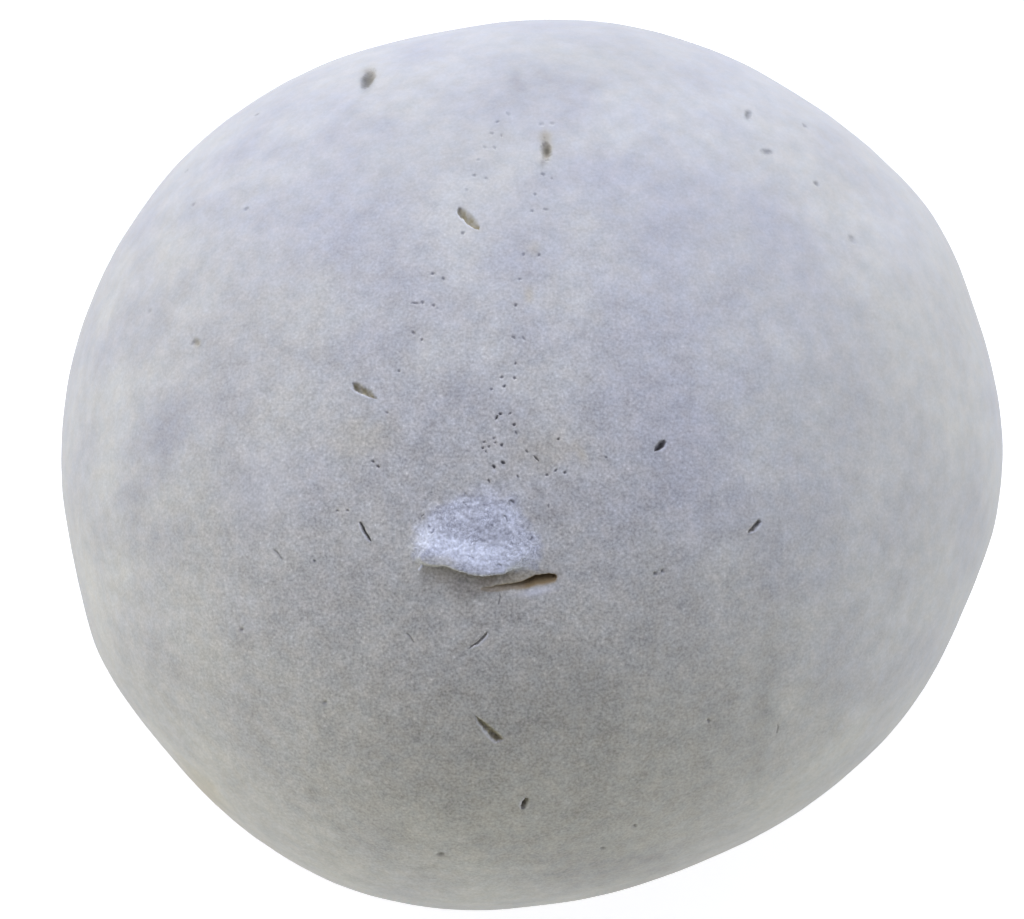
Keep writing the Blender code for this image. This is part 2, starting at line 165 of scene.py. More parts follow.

# Pores of the mouth side: (x, y, length, width, turn, how much shade is painted inside).
PORES = [
    (-1.52, 23.0, 0.46, 0.22, -49, 0.5), (-2.24, 22.5, 0.28, 0.26, 0, 0.4),
    (-2.64, 21.75, 0.36, 0.2, 0, 0.4), (-1.98, 21.6, 0.34, 0.18, 90, 0.35),
    (-3.1, 20.85, 0.34, 0.2, -45, 0.3), (-2.44, 20.8, 0.36, 0.24, -55, 0.4),
    (-3.5, 20.0, 0.26, 0.18, 0, 0.32), (-3.76, 19.0, 0.28, 0.26, 0, 0.5),
    (-3.0, 18.8, 0.34, 0.16, -5, 0.45), (-4.28, 18.05, 0.3, 0.2, 80, 0.2),
    (0.66, 22.35, 0.42, 0.32, 0, 0.22), (1.35, 22.4, 0.4, 0.32, 0, 0.22),
    (0.76, 19.05, 0.42, 0.28, -20, 0.65), (1.32, 18.8, 0.18, 0.16, 0, 0.3),
    (0.23, 17.75, 0.32, 0.24, -45, 0.45), (0.03, 16.65, 0.28, 0.2, -20, 0.45),
    (0.92, 16.75, 0.46, 0.16, -12, 0.35), (-4.55, 15.2, 0.32, 0.26, 0, 0.7),
    (-6.5, 12.5, 0.34, 0.2, 8, 0.6), (-5.8, 12.15, 0.34, 0.22, -35, 0.6),
    (-0.53, 13.8, 0.22, 0.24, 0, 0.45), (0.49, 13.75, 0.32, 0.22, 10, 0.62),
    (-0.79, 12.15, 0.34, 0.14, 0, 0.35), (-7.68, 10.55, 0.76, 0.12, -6, 0.5),
    (-7.18, 10.6, 0.27, 0.26, 0, 0.62), (-6.46, 10.4, 0.27, 0.22, -45, 0.65),
    (-6.22, 10.2, 0.16, 0.12, -30, 0.3), (-7.78, 8.6, 0.42, 0.22, -40, 0.6),
    (-7.22, 8.15, 0.24, 0.22, 0, 0.6), (-1.05, 10.45, 0.3, 0.26, 70, 0.75),
    (-1.2, 8.3, 0.38, 0.16, -30, 0.5), (-0.53, 8.25, 0.44, 0.16, -50, 0.5),
    (-1.05, 6.6, 0.28, 0.2, 90, 0.35), (-1.98, 5.67, 0.28, 0.2, 10, 0.6),
    (-1.12, 5.63, 0.22, 0.2, 0, 0.6), (-1.78, 5.1, 0.24, 0.2, 35, 0.8),
    (-2.64, 4.88, 0.2, 0.18, 0, 0.5), (-2.3, 3.05, 0.34, 0.16, 60, 0.9),
    (-2.05, 3.28, 0.36, 0.17, 10, 0.95), (-1.42, 3.3, 0.3, 0.12, 20, 0.45),
    (-1.15, 2.57, 0.25, 0.2, 10, 0.7), (-0.99, 2.0, 0.34, 0.16, -50, 0.45),
    (-1.98, 1.22, 0.25, 0.2, 20, 0.75), (-3.1, 1.42, 0.3, 0.14, -10, 0.4),
    (-3.23, 1.02, 0.24, 0.18, 0, 0.55), (-2.8, 1.12, 0.18, 0.16, 0, 0.45),
    (-3.0, 0.79, 0.3, 0.14, -70, 0.35), (-2.37, 1.38, 0.18, 0.14, 0, 0.35),
    (-2.47, 1.68, 0.26, 0.13, -20, 0.3), (-1.88, 0.07, 0.38, 0.24, -15, 0.95),
    (-2.47, -0.2, 0.38, 0.22, -50, 0.95), (-0.3, 0.79, 0.3, 0.16, -50, 0.4),
    (0.33, 0.33, 0.62, 0.14, -45, 0.75), (1.78, 1.61, 0.26, 0.15, 30, 0.7),
    (1.02, -0.76, 0.22, 0.18, 0, 0.5), (2.2, -0.59, 0.24, 0.18, 0, 0.6),
    (1.6, -0.46, 0.3, 0.15, 40, 0.35), (-0.89, -0.86, 0.34, 0.16, -50, 0.35),
    (-2.8, -1.15, 0.34, 0.14, -60, 0.45), (4.9, 0.4, 0.18, 0.16, 0, 0.3),
    (-8.75, 6.1, 0.24, 0.2, 0, 0.4), (-9.5, 3.35, 0.22, 0.18, 0, 0.3),
    (-10.45, 0.15, 0.24, 0.18, -40, 0.5), (-10.1, -0.2, 0.28, 0.18, -40, 0.6),
    (-12.8, -3.1, 0.22, 0.16, 0, 0.4), (-12.1, -3.1, 0.22, 0.16, 0, 0.35),
    (-14.3, -6.4, 0.24, 0.16, -30, 0.35),
]
LONG_PORE = 0.32
PORE_DEPTH = 0.26
# Where the highlight painted below each pore lies, and how big it is.
PORE_HIGHLIGHT_GAP = 0.1
PORE_HIGHLIGHT_RADIUS = 0.16

# Stray dents of the mouth side: (x, y, radius, how much shade is painted inside).
DENTS = [
    (18.0, 22.25, 0.22, 0.2), (18.75, 18.45, 0.24, 0.25), (-22.3, 17.05, 0.18, 0.15),
    (-18.15, 23.05, 0.18, 0.15), (-22.75, 19.3, 0.18, 0.15), (-25.15, 10.0, 0.18, 0.08),
    (-5.95, -25.75, 0.3, 0.35), (6.8, -23.85, 0.22, 0.25), (4.7, -25.3, 0.2, 0.3),
    (11.65, -16.95, 0.16, 0.22), (-19.1, -10.95, 0.16, 0.3), (-13.6, -15.75, 0.16, 0.3),
    (8.15, -7.25, 0.14, 0.32), (8.6, -7.1, 0.14, 0.32),
]
DENT_DEPTH = 0.22

# Hairlines: (x, y, x, y, half-width, how dark).  The sliver stands up and is pale.
HAIRLINES = [
    (-2.15, -8.45, -2.1, -9.35, 0.05, 0.4), (-17.05, -5.65, -16.3, -6.35, 0.06, 0.45),
    (-8.35, -11.15, -7.65, -11.8, 0.05, 0.45), (16.2, -17.15, 16.25, -17.85, 0.05, 0.35),
    (-7.22, -3.6, -7.12, -3.31, 0.045, 0.4), (-6.8, -4.15, -6.64, -4.32, 0.045, 0.25),
    (-6.46, -4.33, -6.52, -4.68, 0.045, 0.25), (-3.97, -5.3, -3.55, -5.02, 0.045, 0.35),
    (-1.9, -3.42, -1.5, -3.8, 0.05, 0.55), (-4.16, -6.2, -3.78, -6.14, 0.045, 0.3),
    (-4.55, -2.62, -4.25, -2.72, 0.045, 0.4), (-1.52, -2.48, -1.05, -2.57, 0.045, 0.4),
    (-4.44, -1.92, -4.38, -2.1, 0.045, 0.4), (-0.05, -4.85, 0.03, -4.98, 0.06, 0.55),
    (-2.3, -6.68, -1.95, -6.6, 0.045, 0.35), (-0.62, -6.4, -0.4, -6.2, 0.045, 0.35),
    (1.05, -2.72, 1.16, -2.86, 0.06, 0.45), (-2.75, -4.1, -2.4, -4.2, 0.045, 0.35),
]
SLIVER = (-7.27, -6.55, -7.38, -7.1, 0.075)
HAIRLINE_DEPTH = 0.05

# Soft stains: (x, y, half-length, half-width, turn, strength). Some are painted light: the
# dimmer patches paint shade in the dimples, under the plug's lip and towards -Y on the mouth
# side, besides darker stone, and the paler ones paint the upper right rim lighter, besides paler
# stone.
STAINS = {
    "blue": [
        (9.1, 14.8, 4.8, 2.8, 75, 0.7), (-12.0, 17.1, 7.5, 2.6, 24, 0.5),
        (-23.9, 2.0, 2.8, 1.4, 72, 0.9), (-26.0, -1.8, 1.9, 1.0, 30, 0.7),
        (-14.2, -1.2, 3.4, 1.5, 82, 0.4),
    ],
    "ochre": [
        (-11.0, 1.6, 2.4, 1.4, 0, 0.35), (0.9, 0.9, 3.2, 1.4, 0, 0.35),
        (2.87, 1.12, 0.4, 0.14, -70, 0.6), (3.3, 0.49, 0.55, 0.18, -45, 0.6),
        (0.25, 14.3, 0.5, 0.45, 0, 0.35), (-0.15, 11.1, 0.5, 0.28, 90, 0.5),
        (-10.7, 25.6, 0.6, 0.4, 75, 0.6), (0.97, 20.6, 0.55, 0.36, 90, 1.0),
        (0.9, 21.5, 0.6, 0.45, 90, 0.6), (-22.1, 7.95, 0.3, 0.28, 0, 0.6),
        (-21.5, -21.5, 2.6, 0.6, -47, 0.5), (-1.6, -7.95, 1.3, 0.3, 6, 0.8),
        (-0.6, -7.42, 1.4, 0.35, 6, 0.7),
    ],
    "warm": [
        (0.0, -17.0, 26.0, 14.0, 0, 0.9), (-12.0, 0.0, 14.0, 9.0, 0, 0.35),
        (25.0, 7.0, 15.0, 6.0, 90, 0.6), (-22.0, 10.0, 7.0, 6.0, 0, 0.4),
        (18.0, 19.5, 6.0, 4.0, -50, 0.4),
    ],
    "dim_stone_and_shade": [
        (1.5, -20.5, 17.0, 8.5, 4, 0.29), (12.0, -10.0, 8.0, 6.0, 0, 0.1),
        (15.4, -16.0, 5.4, 0.85, 83, 0.21), (13.3, -15.5, 1.3, 0.2, 0, 0.21),
        (-1.1, 25.2, 1.3, 0.5, 90, 0.2), (-23.9, 2.0, 2.6, 1.2, 72, 0.2),
        (5.0, -26.6, 5.0, 2.2, 0, 0.14), (3.5, 26.4, 6.5, 2.6, 0, 0.15),
        (-8.7, 20.7, 4.5, 3.5, 0, 0.09), (17.7, 2.9, 4.5, 3.5, 0, 0.12),
        (-10.85, 25.3, 0.66, 0.46, 78, 0.95), (0.97, 20.65, 0.42, 0.27, 90, 0.6),
        (0.85, 21.5, 0.6, 0.35, 90, 0.25), (0.75, 19.85, 0.42, 0.26, 75, 0.35),
        (-22.1, 7.95, 0.3, 0.26, 60, 0.22), (15.45, 20.5, 0.42, 0.2, 0, 0.38),
        (1.0, 20.7, 0.25, 0.2, 90, 0.35), (-8.7, -9.0, 4.0, 3.0, 0, 0.06),
        (-2.0, 21.0, 4.5, 3.0, 0, 0.06),
        (21.1, 14.75, 0.42, 0.22, -60, 0.2), (14.25, 22.95, 0.36, 0.22, 80, 0.6),
        (-18.8, 16.75, 0.18, 0.16, 0, 0.16), (0.8, 25.4, 1.3, 0.45, 90, 0.12),
        (2.2, -14.4, 4.5, 3.0, 0, 0.13), (-6.8, -8.4, 2.6, 1.1, 0, 0.2),
        (-3.5, -8.7, 0.9, 0.38, 10, 0.32), (-3.2, -9.2, 2.2, 1.0, 0, 0.13),
        (17.6, -3.2, 3.5, 2.5, 0, 0.1), (-21.5, -3.0, 4.0, 4.0, 0, 0.09),
        (-26.0, -1.8, 1.7, 0.9, 30, 0.15), (0.5, -1.9, 0.55, 0.4, 0, 0.25),
    ],
    "pale_stone_and_highlight": [
        (-17.6, -1.7, 3.4, 2.2, 70, 0.2), (0.3, -8.43, 1.35, 0.28, 9, 0.6),
        (24.5, 14.5, 4.0, 2.5, -60, 0.1),
    ],
    "white": [
        (-4.8, -2.5, 0.85, 0.45, 12, 0.6), (-2.9, -1.9, 0.5, 0.38, 0, 0.65),
        (-1.3, -3.3, 0.85, 0.75, 0, 0.6), (-3.1, -3.4, 0.8, 0.5, 0, 0.4),
        (-2.45, -1.45, 0.9, 0.4, 0, 0.5),
    ],
}

# The crown round the far side, the double columns of pores that run from it: (heading, how
# fast its columns part), and the four holes round it: (distance, heading).
CROWN_DIRECTION = (0.01, 0.7, -0.71)
CROWN_TO_FIRST_PAIR = 3.4
PAIRS_PER_COLUMN = 14
FIRST_PAIR_STEP = 1.3
PAIR_STEP_GROWTH = 0.045
COLUMN_START = 0.55
PAIR_GAP = 0.72
BANDS = [(0.0, 0.035), (70.0, 0.115), (143.0, 0.115), (-143.0, 0.115), (-70.0, 0.115)]
CROWN_HOLES = [(1.25, 40.0), (1.25, -40.0), (1.35, 138.0), (1.35, -138.0)]
CROWN_HOLE_RADIUS = 0.24
CROWN_HOLE_DEPTH = 0.32
CROWN_PORE_RADIUS = 0.15
# How much shade is painted inside the crown's pores and holes.
CROWN_DARKNESS = 0.75

# The vent low on the near side: its direction, and (length, width).
VENT_DIRECTION = (-0.04, -0.93, -0.37)
VENT_SIZE = (4.4, 3.2)
VENT_GROOVE_DEPTH = 0.42
VENT_DISH_DEPTH = 0.12

# The grain is coarsest at the mouth, and a soft veil lies round the widest level.
COARSE_MIDDLE = (-3.5, -8.5, RISE - 2.0)
COARSE_REACH = 21.5
BACK_COARSENESS = 0.4
BACK_COARSE_LEVEL = -7.0
VEIL_LEVEL = 2.0
VEIL_REACH = 7.0

# A direction that no feature's normal lies along.
ASKEW = (0.31, 0.22, 0.92)
CURVE_STEPS = 8
HALVINGS = 50


# ------------ the body's form

def outline_radius(angles):
    """The outline's radius at each angle in radians: a smooth closed curve through OUTLINE."""
    knots = np.array([angle for angle, _ in OUTLINE], float)
    radii = np.array([radius for _, radius in OUTLINE], float)
    count = len(knots)
    gaps = np.diff(np.append(knots, knots[0] + 360.0))
    slopes = (np.roll(radii, -1) - radii) / gaps
    before = np.roll(gaps, 1)
    tangents = (np.roll(slopes, 1) * gaps + slopes * before) / (before + gaps)
    turned = np.mod(np.degrees(angles), 360.0)
    index = np.clip(np.searchsorted(knots, turned, side="right") - 1, 0, count - 1)
    after = (index + 1) % count
    gap = gaps[index]
    t = (turned - knots[index]) / gap
    return (
        radii[index] * (2 * t**3 - 3 * t**2 + 1)
        + tangents[index] * gap * (t**3 - 2 * t**2 + t)
        + radii[after] * (3 * t**2 - 2 * t**3)
        + tangents[after] * gap * (t**3 - t**2)
    )


def upright_points(directions):
    """Where unit directions from the middle of the widest level would meet an unleaning skin."""
    unit = np.atleast_2d(np.asarray(directions, float))
    across = np.hypot(unit[:, 0], unit[:, 1])
    reach = outline_radius(np.arctan2(unit[:, 1], unit[:, 0]))
    height = np.where(unit[:, 2] > 0.0, RISE, DROP)
    inverse = (across / reach) ** ROUNDNESS + (np.abs(unit[:, 2]) / height) ** ROUNDNESS
    return unit * (inverse ** (-1.0 / ROUNDNESS))[:, None]


def lean_at(heights):
    """How far the skin leans from upright at each height."""
    share = (np.maximum(heights, 0.0) / RISE) ** 2
    return np.multiply.outer(share, np.array(TOP_LEAN))


def body_points(directions):
    """The skin's points for unit directions, from the middle of the widest level."""
    points = upright_points(directions)
    points[:, :2] += lean_at(points[:, 2])
    return points


def unit_rows(rows):
    """The rows made one unit long."""
    return rows / np.linalg.norm(rows, axis=-1, keepdims=True)


def body_normals(directions):
    """Outward normals of the smooth skin at unit directions."""
    away = np.atleast_2d(directions)
    side = unit_rows(np.cross(away, ASKEW))
    other = np.cross(away, side)
    nudge = 1e-3
    here = body_points(away)
    one = body_points(unit_rows(away + nudge * side)) - here
    two = body_points(unit_rows(away + nudge * other)) - here
    normals = unit_rows(np.cross(one, two))
    flip = np.sign(np.sum(normals * away, axis=1))
    return normals * flip[:, None]


def skin_frame(direction):
    """The skin's point and normal in one direction."""
    away = unit_rows(np.array(direction, float))[None, :]
    return body_points(away)[0], body_normals(away)[0]


def direction_to(x, y):
    """The direction of the skin's point on the line of sight through (x, y), by halving."""
    eye = np.array([0.0, 0.0, SIGHT_HEIGHT])
    sight = np.array([x, y, 0.0]) - eye
    inside, outside = 1.0, 0.85
    for _ in range(HALVINGS):
        middle = 0.5 * (inside + outside)
        point = eye + middle * sight
        point[:2] -= lean_at(point[2])
        distance = np.linalg.norm(point)
        unit = point / distance
        if distance < np.linalg.norm(upright_points(unit)[0]):
            inside = middle
        else:
            outside = middle
    return unit


def plan_places(points):
    """Where lines of sight to points cross the widest level."""
    return points[:, :2] * (SIGHT_HEIGHT / (SIGHT_HEIGHT - points[:, 2:3]))


# ------------ where the features lie

def pit_frame(x, y, length, width, turn):
    """A pit's middle, normal, and its half-length and half-width as vectors on the skin."""
    angle = math.radians(turn)
    reach = 0.5 * length * np.array([math.cos(angle), math.sin(angle)])
    aside = 0.5 * width * np.array([-math.sin(angle), math.cos(angle)])
    middle, normal = skin_frame(direction_to(x, y))
    ends = [body_points(direction_to(x + s * reach[0], y + s * reach[1]))[0] for s in (-1, 1)]
    sides = [body_points(direction_to(x + s * aside[0], y + s * aside[1]))[0] for s in (-1, 1)]
    along = 0.5 * (ends[1] - ends[0])
    across = 0.5 * (sides[1] - sides[0])
    across -= along * (across @ along) / (along @ along)
    return middle, normal, along, across


def crown_frame():
    """Directions to the crown, from it towards the mouth side, and square to both."""
    away = unit_rows(np.array(CROWN_DIRECTION))
    front = unit_rows(np.array([0.0, 0.0, 1.0]) - away * away[2])
    return away, front, np.cross(away, front)


def from_crown(distance, heading, aside=0.0):
    """The direction reached by going out from the crown, then stepping aside, on a mean sphere."""
    away, front, side = crown_frame()
    mean_radius = 0.5 * (RISE + OUTLINE[0][1])
    turn = math.radians(heading)
    ahead = math.cos(turn) * front + math.sin(turn) * side
    square = np.cross(away, ahead)
    angle = distance / mean_radius
    place = math.cos(angle) * away + math.sin(angle) * ahead
    slip = aside / mean_radius
    return math.cos(slip) * place + math.sin(slip) * square


def crown_pores():
    """Directions of the pores in the five double columns, with how worn each one is."""
    for heading, spread in BANDS:
        for column in (-1, 1):
            distance = CROWN_TO_FIRST_PAIR
            step = FIRST_PAIR_STEP
            for number in range(PAIRS_PER_COLUMN):
                off = column * (COLUMN_START + spread * distance)
                wear = number / PAIRS_PER_COLUMN
                for end in (-0.5, 0.5):
                    yield from_crown(distance, heading, off + end * PAIR_GAP), wear
                distance += step
                step += PAIR_STEP_GROWTH


def fine_spots():
    """Where the mesh has to be fine: (point, radius, edge length) rows."""
    spots = []

    def want(kind, point, reach=0.0):
        margin, edge = FINE[kind]
        spots.append((*point, reach + margin, edge))

    def want_at(kind, x, y, reach=0.0):
        want(kind, skin_frame(direction_to(x, y))[0], reach)

    for x, y, length, _, turn, _ in PORES:
        angle = math.radians(turn)
        for share in (-0.3, 0.3) if length > LONG_PORE else (0.0,):
            reach = share * length
            want_at("pore", x + reach * math.cos(angle), y + reach * math.sin(angle))
    for x, y, radius, _ in DENTS:
        want_at("dent", x, y, radius)
    for x1, y1, x2, y2, *_ in HAIRLINES + [SLIVER]:
        for share in np.linspace(0.0, 1.0, 7):
            want_at("hairline", x1 + share * (x2 - x1), y1 + share * (y2 - y1))
    for direction, _ in crown_pores():
        want("crown pore", skin_frame(direction)[0])
    for distance, heading in CROWN_HOLES:
        want("crown hole", skin_frame(from_crown(distance, heading))[0])
    for x, y, length, width, turn, *_ in PITS + DIMPLES:
        middle, _, along, across = pit_frame(x, y, length, width, turn)
        half = np.linalg.norm(across)
        count = max(1, int(round(np.linalg.norm(along) / max(half, 0.2))))
        for step in np.linspace(-1.0, 1.0, 2 * count + 1):
            want("pit", middle + step * along, half)
    middle_x, middle_y = PLUG_MIDDLE
    for x, y in PLUG_EDGE:
        for share in (1.0, 0.72, 0.45, 0.15):
            want_at("plug", middle_x + share * (x - middle_x), middle_y + share * (y - middle_y))
    for x, y, _ in LIP_LINE:
        want_at("lip", x, y - 0.35)
    for x, y, _, _ in SLIT_LINE:
        want_at("slit", x, y)
    want("vent", skin_frame(VENT_DIRECTION)[0])
    return np.array(spots)


# ------------ the mesh

def wanted_edge(points, spots):
    """How long an edge may be at each point."""
    wanted = np.where(points[:, 2] > BACK_LEVEL, FRONT_EDGE, BACK_EDGE)
    for spot in spots:
        distance = np.linalg.norm(points - spot[:3], axis=1)
        near = spot[4] + EDGE_GROWTH * np.maximum(distance - spot[3], 0.0)
        wanted = np.minimum(wanted, near)
    return wanted


def split_faces(faces, marks, middles):
    """Splits triangles at their marked sides.  Side k runs from corner k to corner k + 1."""
    count = marks.sum(axis=1)
    result = [faces[count == 0]]

    def turned(rows, shift):
        return np.roll(rows, -shift, axis=1)

    for shift in range(3):
        one = (count == 1) & marks[:, shift]
        a, b, c = turned(faces[one], shift).T
        m = middles[one, shift]
        result += [np.stack([a, m, c], 1), np.stack([m, b, c], 1)]
        two = (count == 2) & ~marks[:, (shift + 2) % 3]
        a, b, c = turned(faces[two], shift).T
        m, n = turned(middles[two], shift)[:, :2].T
        result += [np.stack([m, b, n], 1), np.stack([a, m, n], 1), np.stack([a, n, c], 1)]
    a, b, c = faces[count == 3].T
    m, n, k = middles[count == 3].T
    result += [np.stack(rows, 1) for rows in ((a, m, k), (m, b, n), (k, n, c), (m, n, k))]
    return np.concatenate(result)


def refined(directions, faces, spots):
    """Halves edges that are too long, until the mesh is as fine as the features need."""
    for _ in range(SPLIT_PASSES):
        count = len(directions)
        placed = body_points(directions)
        sides = np.stack([faces, np.roll(faces, -1, axis=1)], axis=2)
        low = sides.min(axis=2).ravel()
        high = sides.max(axis=2).ravel()
        keys, index = np.unique(low.astype(np.int64) * count + high, return_inverse=True)
        starts, ends = keys // count, keys % count
        lengths = np.linalg.norm(placed[starts] - placed[ends], axis=1)
        middle = 0.5 * (placed[starts] + placed[ends])
        long = lengths > HALVED_PAST * wanted_edge(middle, spots)
        numbers = np.full(len(keys), -1)
        numbers[long] = count + np.arange(long.sum())
        fresh = unit_rows(directions[starts[long]] + directions[ends[long]])
        directions = np.concatenate([directions, fresh])
        middles = numbers[index.reshape(-1)].reshape(-1, 3)
        faces = split_faces(faces, middles >= 0, middles)
    return directions, faces


def starting_ball():
    """Directions and triangles of an even ball."""
    bm = bmesh.new()
    bmesh.ops.create_icosphere(bm, subdivisions=6, radius=1.0)
    bm.verts.ensure_lookup_table()
    directions = unit_rows(np.array([vert.co for vert in bm.verts]))
    faces = np.array([[vert.index for vert in face.verts] for face in bm.faces])
    bm.free()
    return directions, faces


def smooth_step(value, low, high):
    """0 below low, 1 above high, and a smooth climb between them."""
    t = np.clip((value - low) / (high - low), 0.0, 1.0)
    return t * t * (3.0 - 2.0 * t)


def between(value, low, full, still_full, high):
    """1 between full and still_full, with a smooth climb from low and a smooth fall to high."""
    return smooth_step(value, low, full) * (1.0 - smooth_step(value, still_full, high))


def noise_at(points, size, octaves, offset):
    """Soft noise between about -1 and 1, with features of the given size."""
    shift = Vector((offset, 1.7 * offset, -0.6 * offset))
    return np.array([
        noise.fractal(Vector(point) / size + shift, 1.0, 2.0, octaves) for point in points
    ])


def curve_points(before, here, after, later):
    """Points of smooth curves from here to after, given the corners before and later."""
    rows = []
    for t in np.linspace(0.0, 1.0, CURVE_STEPS, endpoint=False):
        rows.append(0.5 * (
            2 * here + (after - before) * t + (2 * before - 5 * here + 4 * after - later) * t**2
            + (3 * here - before - 3 * after + later) * t**3
        ))
    return np.stack(rows, axis=1).reshape(-1, here.shape[1])


def closed_curve(corners):
    """A smooth closed curve through corners, as points."""
    spots = np.array(corners, float)
    return curve_points(*(np.roll(spots, shift, 0) for shift in (1, 0, -1, -2)))


def open_curve(corners):
    """A smooth open curve through corners, as points with every value interpolated."""
    spots = np.array(corners, float)
    ends = np.vstack([2 * spots[0] - spots[1], spots, 2 * spots[-1] - spots[-2]])
    return np.vstack([curve_points(ends[:-3], ends[1:-2], ends[2:-1], ends[3:]), spots[-1:]])


def nearest_on(path, places):
    """For each place, the nearest path point's number and the distance to it."""
    gaps = np.linalg.norm(places[:, None, :] - path[None, :, :2], axis=2)
    number = gaps.argmin(axis=1)
    return number, gaps[np.arange(len(places)), number]


def is_inside(path, places):
    """Which places a closed path goes round."""
    x, y = places[:, 0:1], places[:, 1:2]
    x1, y1 = path[:, 0], path[:, 1]
    x2, y2 = np.roll(x1, -1), np.roll(y1, -1)
    crosses = (y1 > y) != (y2 > y)
    with np.errstate(divide="ignore", invalid="ignore"):
        at = x1 + (y - y1) * (x2 - x1) / (y2 - y1)
    return (crosses & (x < at)).sum(axis=1) % 2 == 1


ZONES = (
    "hollow", "dark", "pore", "lip_stain_and_shadow", "rust", "plug", "white", "pale_stone_and_highlight", "blue", "ochre", "warm",
    "dim_stone_and_shade", "coarse", "veiled",
)


class Skin:
    """The fine skin: its points, and the zones that the material reads, each from 0 to 1."""

    def __init__(self):
        directions, faces = refined(*starting_ball(), fine_spots())
        self.faces = faces
        self.base = body_points(directions)
        self.normals = body_normals(directions)
        self.rise = np.zeros(len(self.base))
        self.shift = np.zeros_like(self.base)
        self.plan = plan_places(self.base)
        self.zones = {name: np.zeros(len(self.base)) for name in ZONES}

    def near(self, point, reach):
        """Numbers of the points within reach of a point."""
        return np.nonzero(np.sum((self.base - point) ** 2, axis=1) < reach**2)[0]

    def mark(self, zone, chosen, value):
        """Raises a zone to at least the value at the chosen points."""
        layer = self.zones[zone]
        layer[chosen] = np.maximum(layer[chosen], value)

    def placed(self):
        """The points with their rise along the normal and their shift aside."""
        return self.base + self.normals * self.rise[:, None] + self.shift


def add_unevenness(skin):
    """Long soft swells and faint dimples, as on any worn stone."""
    for height, size, place in SWELLS:
        skin.rise += height * noise_at(skin.base, size, 2, place)


def add_stains(skin):
    """Soft stains, with painted shade and painted light among them, and the zones where the grain
    is coarse and where the stone looks veiled.
    """
    ragged = np.stack([noise_at(skin.base, 1.6, 3, place) for place in (20.0, 31.0)], 1)
    # Past the widest level the places run on outwards, as if the side were unrolled.
    below = np.maximum(-skin.base[:, 2], 0.0) / np.linalg.norm(skin.plan, axis=1).clip(1.0)
    places = skin.plan * (1.0 + below)[:, None]
    for zone, stains in STAINS.items():
        for x, y, long, wide, turn, strength in stains:
            angle = math.radians(turn)
            gap = places - (x, y) + 0.45 * min(wide, 1.0) * ragged
            a = (gap[:, 0] * math.cos(angle) + gap[:, 1] * math.sin(angle)) / long
            b = (gap[:, 1] * math.cos(angle) - gap[:, 0] * math.sin(angle)) / wide
            skin.zones[zone] += strength * np.exp(-1.2 * (a * a + b * b) ** 1.3)
    height = skin.base[:, 2]
    far = np.linalg.norm(skin.base - COARSE_MIDDLE, axis=1)
    behind = BACK_COARSENESS * (1.0 - smooth_step(height, BACK_COARSE_LEVEL, 0.0))
    skin.zones["coarse"] = np.maximum(np.exp(-((far / COARSE_REACH) ** 2)), behind)
    skin.zones["veiled"] = np.exp(-(((height - VEIL_LEVEL) / VEIL_REACH) ** 2))


def add_bowl(skin, point, normal, along, across, depth, dark):
    """A small hollow with shade painted inside it and a painted highlight on the rim below it."""
    reach = np.linalg.norm(along)
    chosen = skin.near(point, 2.4 * max(reach, 0.12))
    gap = skin.base[chosen] - point
    gap -= np.outer(gap @ normal, normal)
    a = gap @ along / (along @ along)
    b = gap @ across / (across @ across)
    r = np.hypot(a, b) * (1.0 + 0.35 * noise_at(skin.base[chosen], 0.16, 2, 14.0))
    skin.rise[chosen] -= depth * (1.0 - smooth_step(r, 0.2, 1.1))
    # Shade painted inside the hollow; then a highlight painted on the rim just below it.
    skin.mark("pore", chosen, dark * (1.0 - smooth_step(r, 0.15, 1.25)))
    lower = np.hypot(gap[:, 0] - 0.02, gap[:, 1] + reach + PORE_HIGHLIGHT_GAP) / PORE_HIGHLIGHT_RADIUS
    skin.mark("pale_stone_and_highlight", chosen, 0.5 * max(dark - 0.3, 0.0) * (1.0 - smooth_step(lower, 0.3, 1.0)))


def add_round_bowl(skin, point, normal, radius, depth, dark):
    """A small hollow that is as long as it is wide."""
    side = unit_rows(np.cross(normal, ASKEW))
    add_bowl(skin, point, normal, radius * side, radius * np.cross(normal, side), depth, dark)


def pore_strength(y):
    """How strongly a pore shows, in its depth, its painted shade and its painted highlight: less
    and less towards +Y.
    """
    return 0.88 - 0.42 * smooth_step(y, 0.0, 9.0) - 0.24 * smooth_step(y, 9.0, 22.0)


def add_pores(skin):
    """Pores, dimples and dents of the mouth side, then the crown's pores and holes."""
    for x, y, length, width, turn, dark in PORES:
        dark *= pore_strength(y)
        middle, normal, along, across = pit_frame(x, y, length, width, turn)
        add_bowl(skin, middle, normal, along, across, PORE_DEPTH * (0.25 + 0.75 * dark), dark)
    for x, y, length, width, turn, depth in DIMPLES:
        add_bowl(skin, *pit_frame(x, y, length, width, turn), depth, 0.0)
    for x, y, radius, dark in DENTS:
        depth = DENT_DEPTH * (0.3 + 1.2 * dark)
        add_round_bowl(skin, *skin_frame(direction_to(x, y)), radius, depth, dark)
    for direction, wear in crown_pores():
        depth = PORE_DEPTH * (0.9 - 0.55 * wear)
        dark = CROWN_DARKNESS - 0.4 * wear
        add_round_bowl(skin, *skin_frame(direction), CROWN_PORE_RADIUS, depth, dark)
    for distance, heading in CROWN_HOLES:
        place = skin_frame(from_crown(distance, heading))
        add_round_bowl(skin, *place, CROWN_HOLE_RADIUS, CROWN_HOLE_DEPTH, CROWN_DARKNESS)


